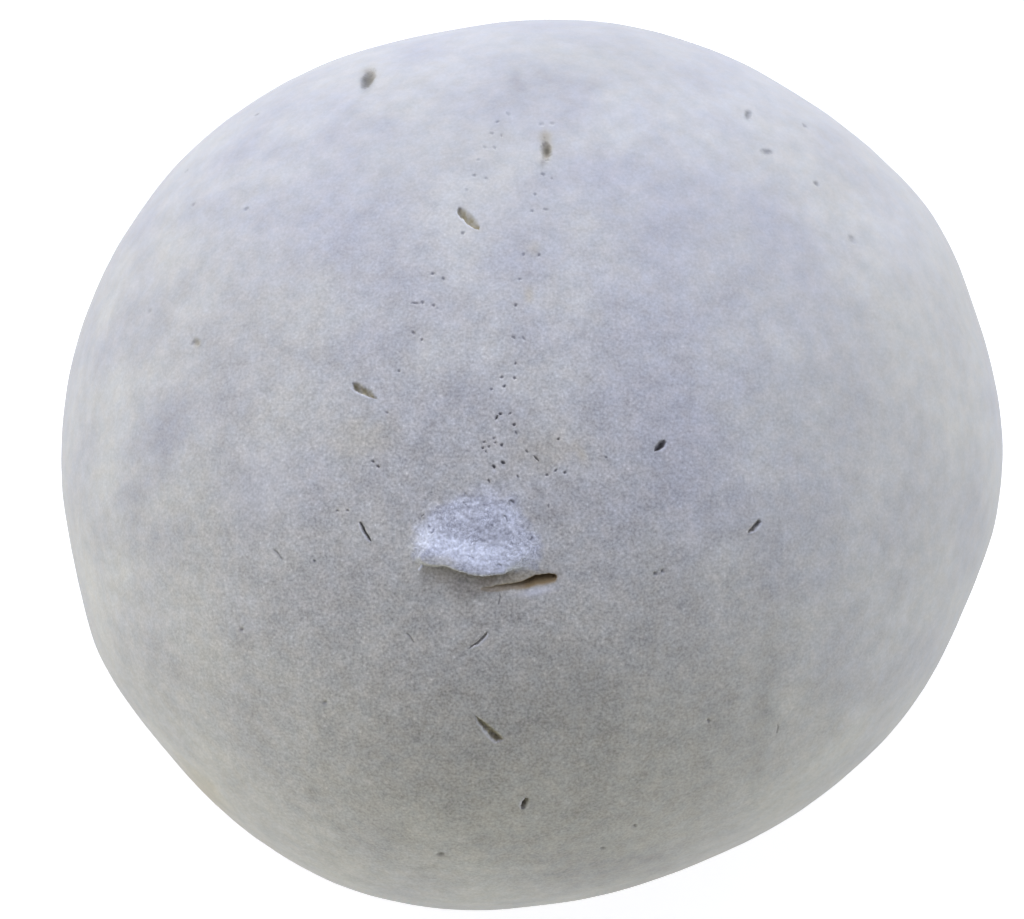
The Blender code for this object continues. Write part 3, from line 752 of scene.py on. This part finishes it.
def line_share(skin, x1, y1, x2, y2, half):
    """Points near a slightly bent line, and how much each is on it."""
    middle = (0.5 * (x1 + x2), 0.5 * (y1 + y2))
    chosen = np.nonzero(np.linalg.norm(skin.plan - middle, axis=1) < 1.2)[0]
    run = np.array([x2 - x1, y2 - y1])
    gap = skin.plan[chosen] - (x1, y1)
    share = gap @ run / (run @ run)
    aside = gap @ np.array([-run[1], run[0]]) / np.linalg.norm(run) - 0.06 * np.sin(5.0 * share)
    line = 1.0 - smooth_step(np.abs(aside) / half, 0.4, 1.5)
    return chosen, line * (1.0 - smooth_step(np.abs(2.0 * share - 1.0), 0.7, 1.0))


def add_hairlines(skin):
    """Fine dark scratches, and one pale sliver at the plug's edge."""
    for *ends, half, dark in HAIRLINES:
        chosen, line = line_share(skin, *ends, half)
        skin.rise[chosen] -= HAIRLINE_DEPTH * line
        skin.mark("dark", chosen, dark * line)
    chosen, line = line_share(skin, *SLIVER)
    skin.rise[chosen] += HAIRLINE_DEPTH * line
    skin.mark("pale_stone_and_highlight", chosen, line)


def add_pit(skin, x, y, length, width, turn, depth, ochre, dark, wider, bent):
    """A slit: a ramp from one side of it down to a steep wall under the other side."""
    middle, _, along, across = pit_frame(x, y, length, width, turn)
    half = np.linalg.norm(across)
    chosen = skin.near(middle, np.linalg.norm(along) + 0.5)
    gap = skin.base[chosen] - middle
    ragged = noise_at(skin.base[chosen], 0.3, 3, x)

    # a runs along the slit, and c across it, from -1 at the wall's side to 1 at the ramp's.
    a = gap @ along / (along @ along) + 0.12 * ragged
    b = gap @ across / half**2 + bent / half * (1.0 - a * a) + (0.2 + 0.02 / half) * ragged
    bluntness = 3.2 + 6.0 * max(wider, 0.0) * (a > 0.0)
    taper = np.sqrt(np.clip(1.0 - np.abs(a) ** bluntness, 0.0, 1.0)) * (1.0 + wider * a)
    c = np.where(taper > 1e-3, b / np.maximum(taper, 1e-3), 9.0 * np.sign(b))

    wall = smooth_step(c, -1.0, -0.6)
    ramp = 1.0 - smooth_step(c, -0.5, 1.1)
    skin.rise[chosen] -= depth * wall * ramp * taper**0.6 * (1.0 + 0.25 * ragged)

    # The ramp is ochre, its foot has painted shade, and the edge over the wall is a little raised
    # and has a painted highlight.
    ends = np.clip(taper * 1.8, 0.0, 1.0) * (taper > 0.05)
    tint = between(c, -1.05, -0.75, 0.0, 1.2)
    skin.mark("hollow", chosen, ochre * tint * ends * (1.0 - 0.3 * smooth_step(ragged, 0.0, 0.5)))
    core = smooth_step(c, -1.0, -0.8) * (1.0 - smooth_step(c + 0.5 * ragged, -0.55, 0.6))
    skin.mark("dark", chosen, dark * core * ends * (1.0 - np.abs(a) ** 3).clip(0.0))
    lip = np.exp(-(((c + 1.0) * half + 0.07) / 0.06) ** 2) * ends
    skin.rise[chosen] += 0.03 * lip
    skin.mark("pale_stone_and_highlight", chosen, 0.45 * lip)


def add_plug(skin, chosen, places, grain):
    """The plug's lump with its powdery coat.  Gives each point's share of the lump's height."""
    edge = closed_curve(PLUG_EDGE)
    edge_number, edge_gap = nearest_on(edge, places)
    depth_in = np.where(is_inside(edge, places), edge_gap, -edge_gap)
    corner = edge_number / CURVE_STEPS
    base = skin.base[chosen]

    # The lump: steep at the lip, fading out at its ends and its back.
    lipward = between(corner, 1.0, 3.5, 11.0, 14.5)
    back = smooth_step(places[:, 1], -6.9, -1.6)
    width = 0.18 * lipward + (1.5 + 0.9 * back) * (1.0 - lipward)
    body = smooth_step(depth_in / width, -0.15, 1.0)
    low_end = 1.0 - 0.55 * smooth_step(places[:, 0], -2.0, 0.6)
    skin.rise[chosen] += PLUG_HEIGHT * (1.0 - 0.78 * back) * low_end * body
    crumbs = noise_at(base, 0.22, 3, 9.0)
    wisps = noise_at(base * np.array([0.45, 1.0, 1.0]), 0.5, 3, 12.0)
    skin.rise[chosen] += (0.045 * crumbs + 0.03 * wisps) * smooth_step(depth_in, -0.15, 0.35)

    # The coat: sharp at the lip, ragged elsewhere, and thin on the bare wedge.
    soft = 0.45 * grain * (1.0 - lipward)
    cover = 0.12 * lipward + (0.55 + 0.9 * back) * (1.0 - lipward)
    powder = smooth_step((depth_in + soft) / cover + 0.75 * lipward, -0.35, 0.9 - 0.25 * lipward)
    bare = np.hypot((places[:, 0] - BARE_PATCH[0]) / BARE_PATCH[2],
                    (places[:, 1] - BARE_PATCH[1]) / BARE_PATCH[3])
    skin.mark("plug", chosen, powder * (1.0 - 0.7 * np.exp(-(bare**4))))
    _, white_gap = nearest_on(open_curve(WHITE_LINE), places)
    bright = np.exp(-((white_gap / WHITE_REACH + 0.22 * wisps + 0.18 * crumbs).clip(0.0)) ** 3.6)
    bright *= 0.62 + 0.38 * smooth_step(places[:, 0], -7.6, -5.6)
    bright *= 1.0 - 0.5 * smooth_step(places[:, 0], -2.8, -1.0)
    skin.mark("white", chosen, bright * smooth_step(depth_in, 0.0, 0.3))
    return body


def add_crease(skin, chosen, below, share, stain_and_shadow_reach):
    """The hollow just under the lip, shallow to the left, with an olive stain that is partly a
    painted shadow of the lip, and a brown ledge.
    """
    crease = between(below, -0.02, 0.16, 0.22, 0.95) * between(share, 0.1, 0.6, 0.5, 0.78)
    skin.rise[chosen] -= CREASE_DEPTH * crease
    skin.shift[chosen, 1] += CREASE_UNDERCUT * crease
    # An olive stain under the lip, darkest near it: a real stain and the lip's painted shadow.
    lip_stain_and_shadow = smooth_step(below, -0.22 + 0.12 * smooth_step(share, 0.1, 0.35), 0.05)
    lip_stain_and_shadow *= 1.0 - smooth_step(below / stain_and_shadow_reach, 0.3, 1.22)
    lip_stain_and_shadow *= 0.42 + 0.2 * smooth_step(share, 0.05, 0.4)
    lip_stain_and_shadow *= 1.0 - 0.5 * smooth_step(share, 0.52, 0.66)
    skin.mark("lip_stain_and_shadow", chosen, lip_stain_and_shadow * smooth_step(share, 0.01, 0.08))
    skin.mark("rust", chosen, 0.4 * lip_stain_and_shadow * between(share, 0.42, 0.6, 0.82, 0.95))


def add_slit(skin, chosen, places):
    """The slit under the lip: a ramp from its lower side to a steep wall on its upper side."""
    slit = open_curve(SLIT_LINE)
    number, gap = nearest_on(slit, places)
    half = slit[number, 2]
    deep = slit[number, 3]
    t = np.sign(places[:, 1] - slit[number, 1]) * gap / half
    ramp = np.clip((t + 1.0) / 1.7, 0.0, 1.0) ** 1.1
    open_part = ramp * (1.0 - smooth_step(t, 0.72, 1.05))
    skin.rise[chosen] -= deep * open_part
    skin.shift[chosen, 1] += SLIT_UNDERCUT * open_part * smooth_step(deep, 0.2, 0.8)
    inside = between(t, -1.35, -0.65, 0.95, 1.3)
    skin.mark("rust", chosen, inside * (0.5 + 0.5 * smooth_step(deep, 0.1, 0.7)))
    # Shade painted in a thin line along the foot of the slit's upper wall.
    core = between(t, 0.0, 0.9, 0.98, 1.2)
    skin.mark("dark", chosen, 0.12 * core * smooth_step(deep, 0.08, 0.3))


def add_mouth(skin):
    """The plug with its overhanging lower lip, the crease below it, and the slit."""
    x, y = skin.plan.T
    reach = (x > -10.5) & (x < 4.0) & (y > -11.0) & (y < 1.0) & (skin.base[:, 2] > 0.0)
    chosen = np.nonzero(reach)[0]
    grain = noise_at(skin.base[chosen], 0.55, 3, 5.0)
    sway = noise_at(skin.base[chosen], 0.8, 2, 1.0)
    places = skin.plan[chosen] + 0.06 * np.stack([sway, grain], axis=1)
    lip = open_curve(LIP_LINE)
    number, gap = nearest_on(lip, places)
    share = number / (len(lip) - 1.0)
    below = np.where(places[:, 1] < lip[number, 1], gap, -gap)

    body = add_plug(skin, chosen, places, grain)
    hang = np.exp(-((below + 0.12) / 0.3) ** 2) * smooth_step(body, 0.1, 0.7)
    hang *= between(share, 0.04, 0.35, 0.8, 0.97)
    skin.shift[chosen, 1] -= PLUG_LIP_OVERHANG * hang
    add_crease(skin, chosen, below, share, lip[number, 2] * (1.0 + 0.3 * grain))
    add_slit(skin, chosen, places)


def add_vent(skin):
    """The vent round the back: a shallow oval groove round a low plug."""
    point, normal = skin_frame(VENT_DIRECTION)
    level = unit_rows(np.cross((0.0, 0.0, 1.0), normal))
    upright = np.cross(normal, level)
    length, width = VENT_SIZE
    chosen = skin.near(point, length)
    gap = skin.base[chosen] - point
    r = np.hypot(gap @ level / (length / 2), gap @ upright / (width / 2))
    r = r + 0.06 * noise_at(skin.base[chosen], 0.9, 2, 4.0)
    groove = np.exp(-((r - 0.8) / 0.17) ** 2)
    dish = 1.0 - smooth_step(r, 0.6, 1.1)
    skin.rise[chosen] -= VENT_GROOVE_DEPTH * groove + VENT_DISH_DEPTH * dish
    skin.mark("plug", chosen, 0.35 * (1.0 - smooth_step(r, 0.4, 0.9)))
    skin.mark("hollow", chosen, 0.32 * groove)


def object_of(name, points, faces):
    """A smooth object made of points and triangles."""
    mesh = bpy.data.meshes.new(name)
    mesh.vertices.add(len(points))
    mesh.vertices.foreach_set("co", points.ravel())
    mesh.loops.add(faces.size)
    mesh.loops.foreach_set("vertex_index", faces.ravel())
    mesh.polygons.add(len(faces))
    mesh.polygons.foreach_set("loop_start", np.arange(0, faces.size, 3))
    mesh.polygons.foreach_set("loop_total", np.full(len(faces), 3))
    mesh.update(calc_edges=True)
    mesh.validate()
    mesh.shade_smooth()
    thing = bpy.data.objects.new(name, mesh)
    bpy.context.scene.collection.objects.link(thing)
    return thing


def make_fossil():
    """The stone with all its features, set on the solid, with its zones as attributes."""
    skin = Skin()
    add_unevenness(skin)
    add_stains(skin)
    for pit in PITS:
        add_pit(skin, *pit)
    add_pores(skin)
    add_hairlines(skin)
    add_mouth(skin)
    add_vent(skin)
    points = skin.placed()

    # The worn flat cuts the stone off below, and lies on the solid's lowest level.
    level = -DROP + FLAT_DEPTH
    points[:, 2] = np.maximum(points[:, 2], level)
    low, high = np.array(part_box(NODE)) / MM
    middle = 0.5 * (low + high)
    outline_middle = 0.5 * (skin.base.min(axis=0) + skin.base.max(axis=0))
    points[:, :2] += middle[:2] - outline_middle[:2]
    points[:, 2] += low[2] - level
    fossil = object_of("urchin_stone", points * MM, skin.faces)
    for name, values in skin.zones.items():
        layer = fossil.data.attributes.new(name, "FLOAT", "POINT")
        layer.data.foreach_set("value", np.clip(values, 0.0, 1.0))
    return fossil


# ------------ materials

class Tree:
    """Short ways to add and join shader nodes."""

    def __init__(self, tree):
        self.tree = tree

    def add(self, kind, settings=None, **sockets):
        node = self.tree.nodes.new(kind)
        for name, value in (settings or {}).items():
            setattr(node, name, value)
        for name, value in sockets.items():
            self.feed(node.inputs[name.replace("_", " ")], value)
        return node

    def feed(self, socket, value):
        if isinstance(value, bpy.types.NodeSocket):
            self.tree.links.new(value, socket)
        else:
            socket.default_value = value

    def noise(self, vector, size_mm, detail=2.0, roughness=0.5, distortion=0.0):
        node = self.add("ShaderNodeTexNoise", Vector=vector, Scale=1.0 / (size_mm * MM),
                        Detail=detail, Roughness=roughness, Distortion=distortion)
        return node.outputs["Fac"]

    def spread(self, value, low, high, out_low=0.0, out_high=1.0):
        node = self.add("ShaderNodeMapRange", {"clamp": True}, Value=value, From_Min=low,
                        From_Max=high, To_Min=out_low, To_Max=out_high)
        return node.outputs["Result"]

    def math(self, operation, first, second=0.0):
        node = self.add("ShaderNodeMath", {"operation": operation})
        self.feed(node.inputs[0], first)
        self.feed(node.inputs[1], second)
        return node.outputs[0]

    def mix(self, share, first, second, blend="MIX"):
        node = self.add("ShaderNodeMix", {"data_type": "RGBA", "blend_type": blend})
        self.feed(node.inputs[0], share)
        self.feed(node.inputs[6], first)
        self.feed(node.inputs[7], second)
        return node.outputs[2]

    def vector(self, operation, first, second):
        node = self.add("ShaderNodeVectorMath", {"operation": operation})
        self.feed(node.inputs[0], first)
        self.feed(node.inputs["Scale" if operation == "SCALE" else 1], second)
        return node.outputs[0]

    def zone(self, name):
        return self.add("ShaderNodeAttribute", {"attribute_name": name}).outputs["Fac"]

    def swing(self, pattern, amount):
        """How far a pattern is from its middle, times an amount."""
        return self.math("MULTIPLY", self.math("SUBTRACT", pattern, 0.5), amount)

    def times(self, value, mask, at_none, at_full):
        """A value times a factor that follows a mask from 0 to 1."""
        return self.math("MULTIPLY", value, self.spread(mask, 0.0, 1.0, at_none, at_full))

    def coated(self, colour, *coats):
        """A colour with others laid over it, each as strongly as its zone says."""
        for name, coat in coats:
            colour = self.mix(self.zone(name), colour, coat)
        return colour


STONE = (0.452, 0.458, 0.462, 1.0)
STONE_VIOLET = (0.416, 0.424, 0.464, 1.0)
STONE_WARM = (0.452, 0.448, 0.418, 1.0)
STONE_OCHRE = (0.42, 0.385, 0.3, 1.0)
PALE_STONE_AND_HIGHLIGHT = (0.74, 0.77, 0.88, 1.0)
OLIVE_STAIN_AND_SHADOW = (0.245, 0.22, 0.182, 1.0)
PLUG_GREY = (0.385, 0.4, 0.455, 1.0)
PLUG_WHITE = (0.65, 0.69, 0.795, 1.0)
PLUG_MARK = (0.17, 0.18, 0.22, 1.0)
PIT_OCHRE = (0.285, 0.252, 0.155, 1.0)
PIT_TAN = (0.39, 0.358, 0.26, 1.0)
PIT_DARK = (0.06, 0.054, 0.048, 1.0)
SLIT_BROWN = (0.245, 0.183, 0.098, 1.0)
PORE_SHADE = (0.07, 0.068, 0.075, 1.0)
TINGE_WARM = (1.015, 1.0, 0.98, 1.0)
TINGE_COOL = (0.985, 1.0, 1.02, 1.0)

# Sizes of the stone's patterns, its bump's height, and how rough and shiny it is.
GRAIN_SIZE = 0.17
CURL_SIZE = 0.24
CRUMB_SIZE = 0.45
TINGE_SIZE = 0.8
MOTTLE_SIZE = 1.5
CLOUD_SIZE = 5.5
DRIFT_SIZE = 15.0
BUMP_HEIGHT = 0.05
STONE_ROUGHNESS = 0.92
STONE_SPECULAR = 0.25


def stone_tint(tree, clouds, drift, crumbs):
    """The stone's colours, with its stains and the ochre of its pits over them; the olive stain
    under the lip is partly a painted shadow.
    """
    colour = tree.mix(tree.spread(clouds, 0.36, 0.66), STONE_VIOLET, STONE)
    colour = tree.mix(tree.spread(drift, 0.45, 0.75, 0.0, 0.4), colour, STONE_WARM)
    ochre = tree.mix(tree.spread(crumbs, 0.35, 0.65), PIT_OCHRE, PIT_TAN)
    return tree.coated(colour, ("warm", STONE_WARM), ("blue", STONE_VIOLET),
                       ("ochre", STONE_OCHRE), ("lip_stain_and_shadow", OLIVE_STAIN_AND_SHADOW), ("hollow", ochre))


def stone_light(tree, grain, crumbs, mottle, clouds, coarse, clear):
    """Light and dark grain, strongest round the mouth, and soft blotches everywhere, all darkened
    where the zone of darker stone and painted shade lies.
    """
    speckle = tree.math("ADD", tree.swing(grain, 0.8), tree.spread(grain, 0.66, 0.8, 0.0, 0.14))
    speckle = tree.times(speckle, coarse, 0.12, 1.65)
    flecks = tree.math("MULTIPLY", tree.times(tree.swing(crumbs, 0.32), coarse, 0.35, 1.35), clear)
    patches = tree.math("MULTIPLY", tree.times(tree.swing(mottle, 0.34), coarse, 0.8, 1.3), clear)
    light = 1.0
    for part in (speckle, flecks, patches, tree.swing(clouds, 0.22)):
        light = tree.math("ADD", light, part)
    # Darker stone and painted shade: the light falls to 0.35 of itself where that zone is full.
    return tree.times(light, tree.zone("dim_stone_and_shade"), 1.0, 0.35)


def plug_powder(tree, place, crumbs, mottle, light):
    """Chalky white in a band over the plug's lip, grey elsewhere, with wisps and fine marks."""
    wisps = tree.spread(crumbs, 0.42, 0.64, 0.0, 0.32)
    white = tree.math("MAXIMUM", tree.zone("white"), wisps)
    powder = tree.mix(1.0, tree.mix(white, PLUG_GREY, PLUG_WHITE), light, "MULTIPLY")
    curls = tree.noise(place, CURL_SIZE, distortion=1.6)
    curls = tree.math("ABSOLUTE", tree.math("SUBTRACT", curls, 0.5))
    marks = tree.math("MULTIPLY", tree.spread(curls, 0.02, 0.07, 1.0, 0.0),
                      tree.spread(mottle, 0.42, 0.56, 0.0, 0.6))
    marks = tree.math("MULTIPLY", marks, tree.spread(tree.zone("white"), 0.3, 1.0, 1.0, 0.15))
    return tree.mix(marks, powder, PLUG_MARK)


def plain_material(name, roughness, specular):
    """A new material, its shader, and its shader nodes as a Tree."""
    material = bpy.data.materials.new(name)
    material.use_nodes = True
    shader = material.node_tree.nodes["Principled BSDF"]
    shader.inputs["Roughness"].default_value = roughness
    shader.inputs["Specular IOR Level"].default_value = specular
    return material, shader, Tree(material.node_tree)


def stone_material():
    """Fine-grained grey stone that reads the skin's zones."""
    material, shader, tree = plain_material(SLOT, STONE_ROUGHNESS, STONE_SPECULAR)
    place = tree.add("ShaderNodeTexCoord").outputs["Object"]
    coarse = tree.zone("coarse")
    clear = tree.spread(tree.zone("veiled"), 0.0, 1.0, 1.0, 0.35)
    grain = tree.noise(place, GRAIN_SIZE, roughness=0.55)
    crumbs = tree.noise(place, CRUMB_SIZE)
    mottle = tree.noise(place, MOTTLE_SIZE, detail=1.5)
    tinge = tree.noise(place, TINGE_SIZE)
    drift = tree.noise(place, DRIFT_SIZE)
    clouds = tree.math("ADD", tree.swing(tree.noise(place, CLOUD_SIZE), clear), 0.5)

    light = stone_light(tree, grain, crumbs, mottle, clouds, coarse, clear)
    hue = tree.mix(tree.spread(tinge, 0.35, 0.65), TINGE_WARM, TINGE_COOL)
    colour = tree.mix(1.0, stone_tint(tree, clouds, drift, crumbs), light, "MULTIPLY")
    colour = tree.mix(1.0, colour, hue, "MULTIPLY")
    # Paler stone, and painted highlights on the lower rims of pores and pits and on the upper right
    # rim.
    colour = tree.mix(tree.math("MULTIPLY", tree.zone("pale_stone_and_highlight"), 0.8), colour, PALE_STONE_AND_HIGHLIGHT)
    powder = plug_powder(tree, place, crumbs, mottle, light)
    # The plug's powder and the slit's brown; then the pore and dark zones paint shade inside pores,
    # at the feet of pit walls and along the slit's upper wall, and darken the hairlines.
    colour = tree.coated(colour, ("plug", powder), ("rust", SLIT_BROWN), ("pore", PORE_SHADE),
                         ("dark", PIT_DARK))
    tree.feed(shader.inputs["Base Color"], colour)

    height = tree.math("ADD", tree.math("MULTIPLY", grain, 0.6), crumbs)
    strength = tree.spread(coarse, 0.0, 1.0, 0.06, 0.3)
    bump = tree.add("ShaderNodeBump", Distance=BUMP_HEIGHT * MM, Strength=strength, Height=height)
    tree.feed(shader.inputs["Normal"], bump.outputs["Normal"])
    return material


# ------------ the stage

FLOOR_HALF_SIZE = 1.5
FLOOR_GREY = (0.88, 0.88, 0.88, 1.0)
FLOOR_GLOW = 0.54

# The tent's light: a low rim, a broad light from +Y and a faint one from -X, each with its
# colour and how narrow it is.
RIM_LIGHT = (3.93, 3.91, 3.15)
RIM_NARROWNESS = 6.0
AHEAD_LIGHT = (1.65, 1.73, 2.21)
AHEAD_NARROWNESS = 2.0
SIDE_LIGHT = (0.34, 0.29, 0.18)
SIDE_NARROWNESS = 3.0


def make_floor():
    """A faintly glowing white floor under the stone."""
    material, shader, _ = plain_material("studio_floor", roughness=1.0, specular=0.0)
    shader.inputs["Base Color"].default_value = FLOOR_GREY
    shader.inputs["Emission Color"].default_value = (1.0, 1.0, 1.0, 1.0)
    shader.inputs["Emission Strength"].default_value = FLOOR_GLOW
    bm = bmesh.new()
    bmesh.ops.create_grid(bm, x_segments=1, y_segments=1, size=FLOOR_HALF_SIZE)
    mesh = bpy.data.meshes.new("floor")
    bm.to_mesh(mesh)
    bm.free()
    floor = bpy.data.objects.new("floor", mesh)
    floor.location.z = cad_bounds[0][2]
    floor.data.materials.append(material)
    bpy.context.scene.collection.objects.link(floor)


def make_sky():
    """A soft tent of light, whose colour is a sum of three lobes."""
    world = bpy.data.worlds.new("soft_tent")
    bpy.context.scene.world = world
    world.use_nodes = True
    tree = Tree(world.node_tree)
    way = tree.add("ShaderNodeTexCoord").outputs["Generated"]
    parts = tree.add("ShaderNodeSeparateXYZ", Vector=way)
    low = tree.math("SUBTRACT", 1.0, tree.math("MAXIMUM", parts.outputs["Z"], 0.0))
    ahead = tree.spread(parts.outputs["Y"], -1.0, 1.0)
    side = tree.spread(parts.outputs["X"], 1.0, -1.0)
    total = (0.0, 0.0, 0.0)
    for share, narrowness, light in (
        (low, RIM_NARROWNESS, RIM_LIGHT),
        (ahead, AHEAD_NARROWNESS, AHEAD_LIGHT),
        (side, SIDE_NARROWNESS, SIDE_LIGHT),
    ):
        lobe = tree.vector("SCALE", light, tree.math("POWER", share, narrowness))
        total = tree.vector("ADD", total, lobe)
    tree.feed(world.node_tree.nodes["Background"].inputs["Color"], total)


def make_camera():
    """Straight above, with the photograph's framing."""
    sensor = 36.0
    camera = bpy.data.cameras.new("camera")
    camera.sensor_fit = "HORIZONTAL"
    camera.sensor_width = sensor
    half_frame = 0.5 * IMAGE_SIZE[0] * MM_PER_PIXEL
    camera.lens = 0.5 * sensor * SIGHT_HEIGHT / half_frame
    camera.shift_x = (0.5 * IMAGE_SIZE[0] - MIDDLE_PIXEL[0]) / IMAGE_SIZE[0]
    camera.shift_y = (MIDDLE_PIXEL[1] - 0.5 * IMAGE_SIZE[1]) / IMAGE_SIZE[0]
    camera.clip_start = 0.01
    camera.clip_end = 10.0
    holder = bpy.data.objects.new("camera", camera)
    low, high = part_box(NODE)
    level = low[2] + (DROP - FLAT_DEPTH) * MM
    middle_x, middle_y = 0.5 * (low[0] + high[0]), 0.5 * (low[1] + high[1])
    holder.location = (middle_x, middle_y, level + SIGHT_HEIGHT * MM)
    bpy.context.scene.collection.objects.link(holder)
    bpy.context.scene.camera = holder


def main():
    """The stage, and the stone in place of the solid."""
    make_camera()
    make_floor()
    make_sky()
    bpy.context.scene.view_settings.view_transform = "Standard"
    fossil = make_fossil()
    fossil.data.materials.append(stone_material())
    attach(fossil, "root")
    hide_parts(NODE)


main()
